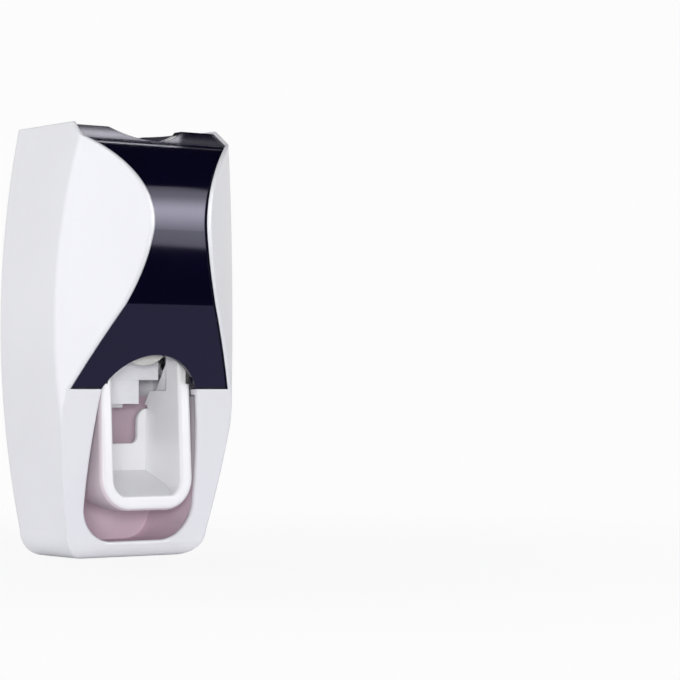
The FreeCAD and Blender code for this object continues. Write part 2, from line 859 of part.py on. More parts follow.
def make_front_trim():
    """Glossy dark panel from the arch over the lever up to the collar."""
    plate = common("trim_plate", [
        skin("trim_skin"),
        box("trim_reach", across(WIDE), (s.edge_depth * HALF, DEEP),
            (s.trim_foot_height, s.collar_seam_height)),
    ])
    arched = cut("trim_arched", plate, [recess_tool("trim_arch_cut")])
    pegs = [
        peg("peg" + end, side, s.trim_peg_radius, s.trim_peg_length)
        for side, end in ((-1, "_l"), (1, "_r"))
    ]
    return sub_part("front_trim", fuse("front_trim", [arched] + pegs))


def scoop(name, radius):
    """The round dip in the roof that guides a tube."""
    return rod(name, radius, DEEP + s.side_overrun, NONE, BEHIND,
               s.housing_height - s.trim_recess - s.scoop_dip + s.scoop_radius, FORWARD)


def opening_outline(grow):
    """The tube opening seen from above, grown by an amount."""
    half_width = s.opening_half_width + grow
    back = s.opening_back_depth - grow
    front = s.opening_front_depth + grow
    corner = (front - back) * HALF
    near = corner * CORNER_SHARE
    return mirrored_outline([
        (half_width - corner, -front),
        (half_width - near, -(front - near), "via"),
        (half_width, -(front - corner)),
        (half_width - near, -(back + near), "via"),
        (half_width - corner, -back),
    ])


def make_top_collar():
    """Dark roof collar with the scoop, the tube opening and a short throat."""
    roof = common("collar_roof", [
        skin("collar_skin"),
        box("collar_reach", across(WIDE), (s.back_gap + SKIN_INSET, DEEP),
            (s.collar_seam_height, TALL)),
    ])
    full = common("collar_block", [
        plan_prism("collar_plan", s.trim_lip),
        outline_prism("collar_outline", s.trim_lip),
        profile_prism("collar_profile", s.trim_recess),
        box("collar_block_reach", across(s.opening_half_width + s.opening_wall),
            (s.opening_back_depth - s.opening_wall, s.opening_front_depth + s.opening_wall),
            (s.opening_wall_height, TALL)),
    ])
    dish = common("collar_dish", [
        full,
        scoop("dish_outer", s.scoop_radius + s.trim_thickness),
    ])
    throat = common("collar_throat", [
        full,
        padded("throat_outer", "XY_Plane", opening_outline(s.opening_wall),
               TALL - s.opening_wall_height, z=s.opening_wall_height),
    ])
    return sub_part("top_collar", cut("top_collar", fuse("collar_body", [roof, dish, throat]), [
        scoop("scoop_cut", s.scoop_radius),
        padded("throat_cut", "XY_Plane", opening_outline(NONE),
               TALL - s.opening_wall_height + s.overrun * 2,
               z=s.opening_wall_height - s.overrun),
    ]))


# Rear cover and what it hangs on

def pan_span():
    """The lowest and highest place of the pocket that takes the wall plate."""
    low = s.plate_centre_height - s.plate_half_height - s.plate_play - s.lift_travel
    high = s.plate_centre_height + s.plate_half_height + s.plate_play
    return low, high


def hook_foot():
    return s.plate_centre_height + s.hook_drop


def post_places():
    return [
        (side, height)
        for side in (-1, 1)
        for height in (s.post_foot_height, s.post_top_height)
    ]


def make_rear_cover():
    """Back plate with a pocket for the wall plate, keyhole slots and screw posts."""
    front = s.back_gap + s.wall
    plate = common("cover_plate", [
        outline_prism("cover_outline", s.wall + s.cover_fit),
        box("cover_reach", across(WIDE), (s.back_gap, front),
            (s.wall + s.cover_fit, s.nose_top_height - s.cover_fit)),
    ])
    low, high = pan_span()
    inner = s.plate_half_width + s.plate_play
    floor = s.pan_floor_depth + s.pan_floor
    pan = box("pan", across(inner + s.pan_wall), (s.back_gap, floor),
              (low - s.pan_wall, high + s.pan_wall))
    posts = [
        rod("post_" + str(index), s.post_radius, s.bracket_back_depth - s.back_gap,
            s.post_half_spacing * side, s.back_gap, height, FORWARD)
        for index, (side, height) in enumerate(post_places())
    ]
    inside = common("cover_inside", [
        fuse("cover_pan_and_posts", [pan] + posts),
        outline_prism("cover_inside_outline", s.wall + s.cover_fit),
    ])
    body = fuse("cover_body", [plate, inside])
    cuts = [box("pan_space", across(inner), (BEHIND, s.pan_floor_depth), (low, high))]
    for side in (-1, 1):
        middle = s.hook_half_spacing * side
        neck = s.hook_neck_half_width + s.seam
        head = s.hook_head_half_width + s.seam
        foot = hook_foot()
        drop = foot - s.lift_travel - s.seam
        end = "_" + str(side + 1)
        cuts.append(box("neck_slot" + end, (middle - neck, middle + neck), (BEHIND, DEEP),
                        (drop, foot + s.hook_height + s.seam)))
        cuts.append(box("head_slot" + end, (middle - head, middle + head), (BEHIND, DEEP),
                        (drop, foot - s.seam)))
    for index, (side, half_width, height) in enumerate(corner_places()):
        cuts.append(rod("cover_hole_" + str(index), s.screw_radius, front + s.side_overrun * 2,
                        half_width * side, BEHIND, height, FORWARD))
        cuts.append(rod("cover_sink_" + str(index), s.screw_head_radius + s.seam,
                        s.back_gap + s.screw_head + s.side_overrun * 2,
                        half_width * side, BEHIND, height, FORWARD))
    for index, (side, height) in enumerate(post_places()):
        cuts.append(rod("post_pilot_" + str(index), s.screw_radius, s.screw_length,
                        s.post_half_spacing * side,
                        s.bracket_front_depth - s.screw_length,
                        height, FORWARD))
    return sub_part("rear_cover", cut("rear_cover", body, cuts))


def make_wall_plate():
    """Moulded plate with two headed hooks that the housing hangs on."""
    back = s.pad_thickness
    front = back + s.plate_thickness
    plate = padded("plate_body", "XZ_Plane",
                   rounded_rectangle(s.plate_half_width, -s.plate_half_height,
                                     s.plate_half_height, s.plate_corner),
                   s.plate_thickness, depth=back, z=s.plate_centre_height)
    hooks = []
    foot = hook_foot()
    for side in (-1, 1):
        middle = s.hook_half_spacing * side
        end = "_" + str(side + 1)
        hooks.append(box("hook_neck" + end,
                         (middle - s.hook_neck_half_width, middle + s.hook_neck_half_width),
                         (front - s.plate_thickness * HALF, s.hook_head_front_depth),
                         (foot, foot + s.hook_height)))
        hooks.append(box("hook_head" + end,
                         (middle - s.hook_head_half_width, middle + s.hook_head_half_width),
                         (s.hook_head_back_depth, s.hook_head_front_depth),
                         (foot, foot + s.hook_height)))
    return sub_part("wall_plate", fuse("wall_plate", [plate] + hooks))


def make_adhesive_pad():
    """Foam pad that holds the wall plate on a smooth wall."""
    pad = padded("adhesive_pad", "XZ_Plane",
                 rounded_rectangle(s.pad_half_width, -s.pad_half_height,
                                   s.pad_half_height, s.plate_corner),
                 s.pad_thickness, z=s.plate_centre_height)
    return sub_part("adhesive_pad", pad)


def make_recess_backing():
    """Mauve liner behind the lever: a back panel with sides and a floor."""
    step = s.backing_thickness
    outer = common("backing_block", [
        padded("backing_outer", "XZ_Plane", backing_outline(NONE), DEEP),
        profile_prism("backing_profile", s.wall),
    ])
    inner = padded("backing_inner", "XZ_Plane", backing_outline(step),
                   DEEP, depth=s.back_gap + s.wall + step)
    return sub_part("recess_backing", cut("recess_backing", outer, [inner]))


def backing_outline(inset):
    """The liner's U seen from the front, drawn in by an amount."""
    half_width = s.backing_half_width - inset
    foot = s.backing_foot_height + inset
    corner = s.backing_corner - inset
    near = corner * CORNER_SHARE
    return mirrored_outline([
        (half_width - corner, foot),
        (half_width - near, foot + near, "via"),
        (half_width, foot + corner),
        (half_width, s.trim_foot_height - s.wall - s.seam + inset),
    ])


# Pump bracket and pump

def make_pump_bracket():
    """Frame on the rear cover that carries the pump, the lever pins and the tube guide."""
    plate = box("bracket_plate", across(s.bracket_half_width),
                (s.bracket_back_depth, s.bracket_front_depth),
                (s.bracket_foot_height, s.bracket_top_height))
    cheeks = []
    holes = []
    for side in (-1, 1):
        end = "_" + str(side + 1)
        near = s.cheek_inner
        far = s.cheek_inner + s.cheek_thickness
        span = (near, far) if side > 0 else (-far, -near)
        cheeks.append(box("cheek" + end, span, (s.bracket_back_depth, s.cheek_front_depth),
                          (s.cheek_foot_height, s.bracket_top_height)))
        cheeks.append(rod("shelf_post" + end, s.shelf_post_radius,
                          s.shelf_height - s.cheek_foot_height,
                          (s.cheek_inner + s.shelf_post_radius) * side,
                          s.shelf_post_depth, s.cheek_foot_height, UPWARD))
        holes.append(rod("pin_hole" + end, s.pin_radius, WIDE, -WIDE * HALF + WIDE * side * HALF,
                         s.pivot_depth, s.pivot_height, SIDEWAYS))
    for index, (side, height) in enumerate(post_places()):
        holes.append(rod("bracket_hole_" + str(index), s.screw_radius, DEEP,
                         s.post_half_spacing * side, NONE, height, FORWARD))
    for index, (side, height) in enumerate(ear_screw_places()):
        holes.append(rod("bracket_pilot_" + str(index), s.screw_radius, DEEP,
                         s.ear_screw_half_spacing * side, NONE, height, FORWARD))
    window = box("bracket_window", across(s.window_half_width), (NONE, DEEP),
                 (s.window_foot_height, s.window_top_height))
    body = common("bracket_inside", [
        fuse("bracket_body", [plate] + cheeks),
        outline_prism("bracket_outline", s.wall + s.seam),
    ])
    return sub_part("pump_bracket", cut("pump_bracket", body, [window] + holes))


def ear_screw_places():
    return [
        (side, height)
        for side in (-1, 1)
        for height in (s.ear_screw_foot_height, s.ear_screw_top_height)
    ]


def bore_rod(name, radius, back, front):
    """A cylinder on the piston's axis between two depths."""
    return rod(name, radius, front - back, NONE, back, s.push_bar_height, FORWARD)


def upright_rod(name, radius, depth, low, high):
    """An upright cylinder in the middle plane between two heights."""
    return rod(name, radius, high - low, NONE, depth, low, UPWARD)


def make_pump_body():
    """Moulded pump block with the piston bore, the inlet channel and the outlet."""
    back = s.pump_back_depth
    block = box("pump_block", across(s.pump_half_width), (back, s.pump_front_depth),
                (s.pump_foot_height, s.deck_foot_height))
    deck = box("pump_deck", across(s.deck_half_width), (back, s.deck_front_depth),
               (s.deck_foot_height, s.deck_top_height))
    boss = bore_rod("bore_boss", s.bore_boss_radius, back, s.bore_boss_depth)
    ears = box("pump_ears", across(s.ear_half_width),
               (s.bracket_front_depth, back + s.overrun),
               (s.ear_foot_height, s.ear_top_height))
    ear_space = box("ear_space", across(s.window_half_width),
                    (NONE, back), (NONE, TALL))
    body = cut("pump_solid", fuse("pump_joined", [block, deck, boss, ears]), [ear_space])
    holes = [
        bore_rod("piston_bore", s.bore_radius, back - s.overrun, s.bore_boss_depth + s.overrun),
        upright_rod("inlet_pocket", s.inlet_pocket_radius, s.inlet_depth,
                    s.push_bar_height, s.inlet_seat_height),
        upright_rod("inlet_hole", s.inlet_hole_radius, s.inlet_depth,
                    s.push_bar_height, s.channel_height),
        upright_rod("tube_hole", s.inlet_hole_radius, s.tube_depth,
                    s.channel_height, s.deck_top_height + s.overrun),
        rod("inlet_channel", s.channel_radius, s.tube_depth - s.inlet_depth,
            NONE, s.inlet_depth, s.channel_height, FORWARD),
        upright_rod("outlet_hole", s.outlet_hole_radius, s.inlet_depth,
                    s.pump_foot_height - s.overrun, s.push_bar_height),
    ]
    for index, (side, height) in enumerate(ear_screw_places()):
        holes.append(rod("ear_hole_" + str(index), s.screw_radius, DEEP,
                         s.ear_screw_half_spacing * side, NONE, height, FORWARD))
    for index, (x, height) in enumerate(cap_screw_places()):
        holes.append(rod("cap_pilot_" + str(index), s.screw_radius,
                         s.screw_length - s.end_cap_thickness,
                         x, back, height, FORWARD))
    for index, (x, depth) in enumerate(ring_screw_places()):
        holes.append(rod("ring_pilot_" + str(index), s.screw_radius, s.deck_top_height,
                         x, depth, s.deck_foot_height, UPWARD))
    holes.append(gasket_ring("gasket_seat"))
    return sub_part("pump_body", cut("pump_body", body, holes))


def cap_screw_places():
    """Four screws round the pump's end cap."""
    reach = s.cap_screw_half_spacing
    return [
        (reach * side, s.push_bar_height + reach * level)
        for side in (-1, 1)
        for level in (-1, 1)
    ]


def ring_screw_places():
    """Four screws round the socket ring."""
    return [
        (s.ring_screw_half_spacing * side, s.tube_depth + s.ring_screw_half_spacing * level)
        for side in (-1, 1)
        for level in (-1, 1)
    ]


def gasket_ring(name):
    """The face seal between the pump and its end cap."""
    outer = s.bore_radius + s.gasket_groove + s.gasket_width
    inner = s.bore_radius + s.gasket_groove
    return turned(name, [
        (inner, NONE), (outer, NONE), (outer, s.gasket_groove), (inner, s.gasket_groove),
    ], NONE, s.pump_back_depth, s.push_bar_height, FORWARD)


def make_pump_end_cap():
    """Plate that closes the rear of the piston bore."""
    back = s.pump_back_depth - s.end_cap_thickness
    plate = padded("end_cap_plate", "XZ_Plane",
                   rounded_rectangle(s.end_cap_half_width, s.end_cap_foot_height,
                                     s.end_cap_top_height, s.screw_head_radius),
                   s.end_cap_thickness, depth=back)
    holes = [
        rod("cap_hole_" + str(index), s.screw_radius, DEEP, x, NONE, height, FORWARD)
        for index, (x, height) in enumerate(cap_screw_places())
    ]
    return sub_part("pump_end_cap", cut("pump_end_cap", plate, holes))


def make_nozzle_block():
    """Lower block that holds the outlet valve under the pump."""
    block = box("nozzle_solid", across(s.nozzle_half_width),
                (s.nozzle_back_depth, s.pump_front_depth),
                (s.nozzle_foot_height, s.pump_foot_height))
    hole = upright_rod("nozzle_hole", s.nozzle_hole_radius, s.inlet_depth,
                       s.nozzle_foot_height - s.overrun, s.pump_foot_height)
    seat = upright_rod("duckbill_seat", s.duckbill_flange_radius, s.inlet_depth,
                       s.pump_foot_height - s.duckbill_flange, s.pump_foot_height + s.overrun)
    return sub_part("nozzle_block", cut("nozzle_block", block, [hole, seat]))


def make_outlet_valve():
    """Silicone duckbill: a flange, a round neck and two lips."""
    flange = upright_rod("duckbill_flange_disc", s.duckbill_flange_radius, s.inlet_depth,
                         s.pump_foot_height - s.duckbill_flange, s.pump_foot_height)
    neck = upright_rod("duckbill_neck", s.duckbill_radius, s.inlet_depth,
                       s.duckbill_foot_height, s.pump_foot_height)
    bill = padded("duckbill_bill", "YZ_Plane", [
        (-s.duckbill_lip_half, s.duckbill_foot_height),
        (s.duckbill_lip_half, s.duckbill_foot_height),
        (s.duckbill_radius, s.duckbill_round_foot_height),
        (s.duckbill_radius, s.pump_foot_height),
        (-s.duckbill_radius, s.pump_foot_height),
        (-s.duckbill_radius, s.duckbill_round_foot_height),
    ], s.duckbill_radius * 2, x=-s.duckbill_radius, depth=s.inlet_depth)
    lips = common("duckbill_lips", [neck, bill])
    passage = upright_rod("duckbill_passage", s.duckbill_radius * HALF, s.inlet_depth,
                          s.duckbill_round_foot_height, s.pump_foot_height + s.overrun)
    return sub_part("outlet_valve", cut("outlet_valve",
                                        fuse("duckbill_body", [flange, lips]), [passage]))


def make_inlet_valve():
    """Silicone flap valve with a short stem."""
    valve = turned("inlet_valve", [
        (NONE, -s.flap_thickness),
        (s.flap_radius, -s.flap_thickness),
        (s.flap_radius, NONE),
        (s.flap_stem_radius, NONE),
        (s.flap_stem_radius, s.flap_stem),
        (NONE, s.flap_stem),
    ], NONE, s.inlet_depth, s.inlet_seat_height)
    return sub_part("inlet_valve", valve)


def ring_centre_depth():
    return s.piston_back_depth + s.piston_disc * HALF


def make_piston():
    """Piston with a grooved disc in the bore, a stem and a broad head."""
    disc = s.piston_disc
    radius = s.bore_radius - s.piston_fit
    groove = s.bore_radius - s.ring_fit - s.ring_wire_radius * 2
    wire = s.ring_wire_radius
    head_front = s.push_bar_depth - s.sleeve_radius - s.seam - s.piston_back_depth
    head_back = head_front - s.piston_head
    piston = turned("piston", [
        (NONE, NONE),
        (radius, NONE),
        (radius, disc * HALF - wire),
        (groove, disc * HALF - wire),
        (groove, disc * HALF + wire),
        (radius, disc * HALF + wire),
        (radius, disc),
        (s.piston_stem_radius, disc),
        (s.piston_stem_radius, head_back),
        (s.piston_head_radius, head_back),
        (s.piston_head_radius, head_front),
        (NONE, head_front),
    ], NONE, s.piston_back_depth, s.push_bar_height, FORWARD)
    return sub_part("piston", piston)


def make_piston_seal():
    """Rubber ring in the piston's groove."""
    ring = doc.addObject("Part::Torus", "piston_seal")
    bind(ring, "Radius1", s.bore_radius - s.ring_fit - s.ring_wire_radius)
    bind(ring, "Radius2", s.ring_wire_radius)
    place(ring, NONE, -ring_centre_depth(), s.push_bar_height, FORWARD)
    return sub_part("piston_seal", ring)


def biarc(start, start_tangent, end, end_tangent):
    """Two equal-reach tangent arcs from one point and direction to another."""
    chord = end - start
    pull = start_tangent + end_tangent
    a = pull.dot(pull) - 4
    b = -2 * chord.dot(pull)
    c = chord.dot(chord)
    reach = (-b - math.sqrt(b * b - 4 * a * c)) / (2 * a)
    first_corner = start + start_tangent * reach
    second_corner = end - end_tangent * reach
    joint = (first_corner + second_corner) * HALF
    edges = []
    for p, corner, q in ((start, first_corner, joint), (joint, second_corner, end)):
        weight = (q - p).Length / (2 * (corner - p).Length)
        middle = (p + corner * (2 * weight) + q) * (1 / (2 + 2 * weight))
        edges.append(Part.Arc(p, middle, q).toShape())
    return edges


def make_piston_spring():
    """Compression spring between the bore's boss and the piston's head."""
    back = s.bore_boss_depth.value
    front = (s.push_bar_depth - s.sleeve_radius - s.seam - s.piston_head).value
    wire = s.spring_wire_radius.value
    radius = s.spring_radius.value
    travel = front - back - 2 * wire
    pitch = travel / SPRING_TURNS
    steps = SPRING_TURNS * QUARTERS
    along = math.hypot(2 * math.pi * radius, pitch)

    def at(step):
        turn = 2 * math.pi * step / QUARTERS
        height = wire + pitch * step / QUARTERS
        spot = FreeCAD.Vector(radius * math.cos(turn), radius * math.sin(turn), height)
        way = FreeCAD.Vector(-2 * math.pi * radius * math.sin(turn),
                             2 * math.pi * radius * math.cos(turn), pitch) * (1 / along)
        return spot, way

    edges = []
    for step in range(steps):
        start, start_way = at(step)
        end, end_way = at(step + 1)
        edges += biarc(start, start_way, end, end_way)
    path = Part.Wire(edges)
    start, way = at(0)
    section = Part.Wire(Part.Circle(start, way, wire).toShape())
    spring = doc.addObject("Part::Feature", "piston_spring")
    spring.Shape = path.makePipeShell([section], True, False)
    place(spring, NONE, -s.bore_boss_depth, s.push_bar_height, FORWARD)
    print("spring: least gap between turns", round(pitch - 2 * wire, 3), "mm")
    return sub_part("piston_spring", spring)


# Tube socket

def make_tube_socket():
    """Silicone socket that grips the neck of a tube standing on its cap end."""
    base = s.deck_top_height
    rise = s.socket_top_height - base
    socket = turned("tube_socket", [
        (s.inlet_hole_radius, NONE),
        (s.socket_flange_radius, NONE),
        (s.socket_flange_radius, s.socket_flange),
        (s.socket_radius, s.socket_flange),
        (s.socket_radius, rise),
        (s.socket_bore_radius, rise),
        (s.socket_bore_radius, s.socket_floor),
        (s.inlet_hole_radius, s.socket_floor),
    ], NONE, s.tube_depth, base)
    return sub_part("tube_socket", socket)


def make_socket_ring():
    """Clamp over the socket's flange."""
    low = s.deck_top_height
    high = low + s.socket_flange + s.ring_cover
    reach = s.ring_half_width
    block = box("ring_block", across(reach),
                (s.tube_depth - reach, s.deck_front_depth - s.seam), (low, high))
    flange = upright_rod("ring_flange_space", s.socket_flange_radius, s.tube_depth,
                         low, low + s.socket_flange)
    hole = upright_rod("ring_hole", s.socket_radius + s.cover_fit, s.tube_depth,
                       low, high + s.overrun)
    holes = [
        rod("ring_screw_hole_" + str(index), s.screw_radius, s.deck_top_height,
            x, depth, s.deck_foot_height, UPWARD)
        for index, (x, depth) in enumerate(ring_screw_places())
    ]
    return sub_part("socket_ring", cut("socket_ring", block, [flange, hole] + holes))


def make_tube_guide():
    """Shelf with a coned hole that centres the tube's shoulder over the socket."""
    top = s.shelf_height + s.shelf_thickness
    middle = s.corner_boss_depth + s.seam
    slab = common("guide_slab", [
        plan_prism("guide_plan", SKIN_INSET + s.wall + s.seam),
        profile_prism("guide_profile", SKIN_INSET + s.wall + s.seam),
        outline_prism("guide_outline", s.wall + s.seam),
        fuse("guide_reach", [
            box("guide_front", across(WIDE), (middle, s.shelf_front_depth),
                (s.shelf_height, top)),
            box("guide_tongue", across(s.shelf_tongue_half_width),
                (s.hook_head_front_depth + s.seam, middle), (s.shelf_height, top)),
        ]),
    ])
    hole = upright_rod("guide_hole", s.shelf_hole_radius, s.tube_depth,
                       s.shelf_height - s.overrun, top + s.overrun)
    cone = doc.addObject("Part::Cone", "guide_cone")
    bind(cone, "Radius1", s.shelf_hole_radius)
    bind(cone, "Radius2", s.shelf_cone_radius)
    bind(cone, "Height", s.shelf_thickness)
    place(cone, NONE, -s.tube_depth, s.shelf_height)
    return sub_part("tube_guide", cut("tube_guide", slab, [hole, cone]))


# Lever and what turns with it

def lever_front_outline(inset, foot, top):
    """A U seen from the front, with round lower corners."""
    half_width = s.lever_half_width - inset
    corner = s.lever_corner - inset
    near = corner * CORNER_SHARE
    return mirrored_outline([
        (half_width - corner, foot),
        (half_width - near, foot + near, "via"),
        (half_width, foot + corner),
        (half_width, top),
    ])


def is_rim_edge(edge):
    """An edge of the lever's front rim that runs round the U, not across the top."""
    slack = s.seam.value
    for share in (0, HALF, 1):
        first, last = edge.ParameterRange
        point = edge.valueAt(first + (last - first) * share)
        height = point.z - GROUND.value
        lean = s.rim_lean.value * (s.cup_top_height.value - height)
        front = s.lever_rim_top_depth.value + lean
        if height > s.cup_top_height.value + slack or abs(-point.y - front) > slack * HALF:
            return False
    return edge.CenterOfMass.z - GROUND.value < s.cup_top_height.value - slack


def is_cup_edge(edge):
    """A rim edge on the cup's side of the rim."""
    slack = s.seam.value
    reach = s.lever_half_width.value - s.lever_rim.value + slack
    inside = all(abs(end.X) < reach for end in edge.Vertexes)
    from_floor = edge.CenterOfMass.z - GROUND.value - s.cup_floor_front_height.value
    return inside and from_floor > -slack and is_rim_edge(edge)


def make_push_lever():
    """White push cup with two arms that hang from the pivot pins."""
    half_width = s.lever_half_width
    boss = s.pivot_boss_radius
    top = s.pivot_height + boss
    cup_outer_back = s.cup_back_depth - s.cup_back_wall
    side = padded("lever_side", "YZ_Plane", [
        (-s.lever_rim_foot_depth, s.lever_foot_height),
        (-s.lever_rim_top_depth, s.cup_top_height),
        (-(s.push_bar_depth + s.push_bar_boss_radius), s.push_bar_height - s.push_bar_boss_radius),
        (-(s.push_bar_depth + s.push_bar_boss_radius), s.push_bar_height + s.push_bar_radius),
        (-(s.pivot_depth + boss), s.pivot_height),
        (-(s.pivot_depth + boss * DIAGONAL_SHARE), s.pivot_height + boss * DIAGONAL_SHARE, "via"),
        (-s.pivot_depth, top),
        (-(s.pivot_depth - boss * DIAGONAL_SHARE), s.pivot_height + boss * DIAGONAL_SHARE, "via"),
        (-(s.pivot_depth - boss), s.pivot_height),
        (-s.arm_back_depth, s.arm_back_foot_height),
        (-cup_outer_back, s.cup_back_top_height),
        (-cup_outer_back, s.cup_back_foot_height),
        (-(s.pivot_depth), s.lever_foot_height),
    ], half_width * 2, x=-half_width)
    front = padded("lever_front", "XZ_Plane",
                   lever_front_outline(NONE, s.lever_foot_height, top), DEEP)
    outer = rounded("lever_outer_soft", common("lever_outer", [side, front]),
                    s.lever_outer_round, is_rim_edge)
    cup_front = padded("cup_front", "XZ_Plane",
                       lever_front_outline(s.lever_rim, s.cup_floor_front_height,
                                           s.cup_top_height + s.overrun), DEEP)
    cup_side = padded("cup_side", "YZ_Plane", [
        (-DEEP, s.cup_floor_front_height),
        (-s.lever_rim_foot_depth, s.cup_floor_front_height),
        (-s.cup_back_depth, s.cup_floor_back_height),
        (-s.cup_back_depth, s.cup_top_height + s.overrun),
        (-DEEP, s.cup_top_height + s.overrun),
    ], half_width * 2, x=-half_width)
    cup = common("cup_space", [cup_front, cup_side])
    cupped = cut("lever_cupped", outer, [cup])
    arm_half = s.arm_inner
    arm_gap = box("arm_gap", across(arm_half), (NONE, DEEP), (s.cup_top_height, TALL))
    arm_gap_back = box("arm_gap_back", across(arm_half), (NONE, s.arm_gap_front_depth),
                       (s.arm_gap_foot_height, TALL))
    over_back = box("over_back", across(half_width - s.lever_rim),
                    (NONE, s.cup_back_depth + s.overrun),
                    (s.cup_back_top_height, TALL))
    corner = s.notch_corner
    near = corner * CORNER_SHARE
    flare = s.notch_flare
    flare_near = flare * CORNER_SHARE
    notch_half = s.notch_half_width
    notch_top = s.cup_back_top_height
    notch = padded("notch", "XZ_Plane", mirrored_outline([
        (notch_half - corner, s.notch_foot_height),
        (notch_half - near, s.notch_foot_height + near, "via"),
        (notch_half, s.notch_foot_height + corner),
        (notch_half, notch_top - flare),
        (notch_half + flare_near, notch_top - flare_near, "via"),
        (notch_half + flare, notch_top),
        (notch_half + flare, notch_top + s.overrun),
    ]), s.cup_back_depth + s.overrun)
    pin_hole = rod("lever_pin_hole", s.pin_radius + s.running_gap, half_width * 4,
                   -half_width * 2, s.pivot_depth, s.pivot_height, SIDEWAYS)
    bar_hole = rod("lever_bar_hole", s.push_bar_radius, half_width * 4,
                   -half_width * 2, s.push_bar_depth, s.push_bar_height, SIDEWAYS)
    inner_soft = rounded("lever_inner_soft", cupped, s.lever_inner_round, is_cup_edge)
    spaces = [arm_gap, arm_gap_back, over_back, notch, pin_hole, bar_hole]
    return sub_part("push_lever", cut("push_lever", inner_soft, spaces))


def make_push_bar():
    """Steel bar across the arms."""
    bar = rod("push_bar", s.push_bar_radius, s.lever_half_width * 2, -s.lever_half_width,
              s.push_bar_depth, s.push_bar_height, SIDEWAYS)
    return sub_part("push_bar", bar)


def make_push_sleeve():
    """Plastic sleeve on the bar, which presses on the piston's head."""
    sleeve = turned("push_sleeve", [
        (s.push_bar_radius, -s.sleeve_half_length),
        (s.sleeve_radius, -s.sleeve_half_length),
        (s.sleeve_radius, s.sleeve_half_length),
        (s.push_bar_radius, s.sleeve_half_length),
    ], NONE, s.push_bar_depth, s.push_bar_height, SIDEWAYS)
    return sub_part("push_sleeve", sleeve)


def make_pivot_pins():
    """Two headed stub pins that carry the lever."""
    outer = s.cheek_inner + s.cheek_thickness
    pins = []
    for side in (-1, 1):
        end = "_" + str(side + 1)
        shank_start = s.pin_inner if side > 0 else -(outer + s.pin_head)
        head_start = outer if side > 0 else -(outer + s.pin_head)
        shank = rod("pin_shank" + end, s.pin_radius, outer + s.pin_head - s.pin_inner,
                    shank_start, s.pivot_depth, s.pivot_height, SIDEWAYS)
        head = rod("pin_head" + end, s.pin_head_radius, s.pin_head,
                   head_start, s.pivot_depth, s.pivot_height, SIDEWAYS)
        pins.append(fuse("pivot_pin" + end, [shank, head]))
    return sub_part("pivot_pins", group("pivot_pins", pins))


def make_stop_pads():
    """Rubber pads behind the trim that the lever rests against."""
    pads = []
    for side in (-1, 1):
        end = "_" + str(side + 1)
        near = s.stop_pad_outer - s.stop_pad_width
        far = s.stop_pad_outer
        span = (near, far) if side > 0 else (-far, -near)
        block = box("stop_block" + end, span, (s.stop_pad_back_depth, s.straight_top_depth),
                    (s.stop_pad_foot_height, s.stop_pad_top_height))
        pads.append(common("stop_pad" + end, [
            block, profile_prism("stop_face" + end, SKIN_INSET),
        ]))
    return sub_part("lever_stop_pads", group("lever_stop_pads", pads))


# Fasteners

BACKWARD = FreeCAD.Rotation(FreeCAD.Vector(1, 0, 0), -QUARTER_TURN)


def make_screws():
    """Every set of screws, each set in its own node."""
    outer = [
        screw("rear_screw_" + str(index), s.screw_length, half_width * side,
              s.back_gap + s.screw_head, height, BACKWARD)
        for index, (side, half_width, height) in enumerate(corner_places())
    ]
    sub_part("rear_cover_screws", group("rear_cover_screws", outer))
    posts = [
        screw("bracket_screw_" + str(index), s.screw_length, s.post_half_spacing * side,
              s.bracket_front_depth, height, FORWARD)
        for index, (side, height) in enumerate(post_places())
    ]
    sub_part("bracket_screws", group("bracket_screws", posts))
    ears = [
        screw("pump_screw_" + str(index), s.short_screw_length, s.ear_screw_half_spacing * side,
              s.pump_back_depth + s.overrun, height, FORWARD)
        for index, (side, height) in enumerate(ear_screw_places())
    ]
    sub_part("pump_screws", group("pump_screws", ears))
    cap = [
        screw("cap_screw_" + str(index), s.screw_length, x,
              s.pump_back_depth - s.end_cap_thickness, height, BACKWARD)
        for index, (x, height) in enumerate(cap_screw_places())
    ]
    sub_part("end_cap_screws", group("end_cap_screws", cap))
    ring_top = s.deck_top_height + s.socket_flange + s.ring_cover
    ring = [
        screw("ring_screw_" + str(index), s.screw_length, x, depth, ring_top, UPWARD)
        for index, (x, depth) in enumerate(ring_screw_places())
    ]
    sub_part("socket_ring_screws", group("socket_ring_screws", ring))


make_adhesive_pad()
make_wall_plate()
make_front_housing()
make_front_trim()
make_top_collar()
make_rear_cover()
make_recess_backing()
make_pump_bracket()
make_pump_body()
make_pump_end_cap()
sub_part("end_cap_gasket", gasket_ring("end_cap_gasket"))
make_nozzle_block()
make_outlet_valve()
make_inlet_valve()
make_tube_socket()
make_socket_ring()
make_tube_guide()
make_pivot_pins()
make_stop_pads()
make_screws()
make_push_lever()
make_push_bar()
make_push_sleeve()
make_piston()
make_piston_seal()
make_piston_spring()
doc.recompute()

faults = []
for thing in doc.Objects:
    if "Invalid" in thing.State or "Error" in thing.State:
        faults.append(thing.Name + " failed")
for thing in SUB_PARTS:
    if thing.Shape.isNull() or not thing.Shape.isValid() or not thing.Shape.Solids:
        faults.append(thing.Label + " has no valid solid")
if faults:
    raise RuntimeError("; ".join(faults))

os.makedirs("parts", exist_ok=True)
for thing in SUB_PARTS:
    thing.Shape.exportStep("parts/" + thing.Label + ".step")
    solids = thing.Shape.Solids
    print(thing.Label, len(solids), "solids", round(sum(solid.Volume for solid in solids), 1), "mm3")
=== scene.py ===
"""Looks of a wall-hung toothpaste dispenser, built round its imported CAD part. Metres throughout."""

import json
import math

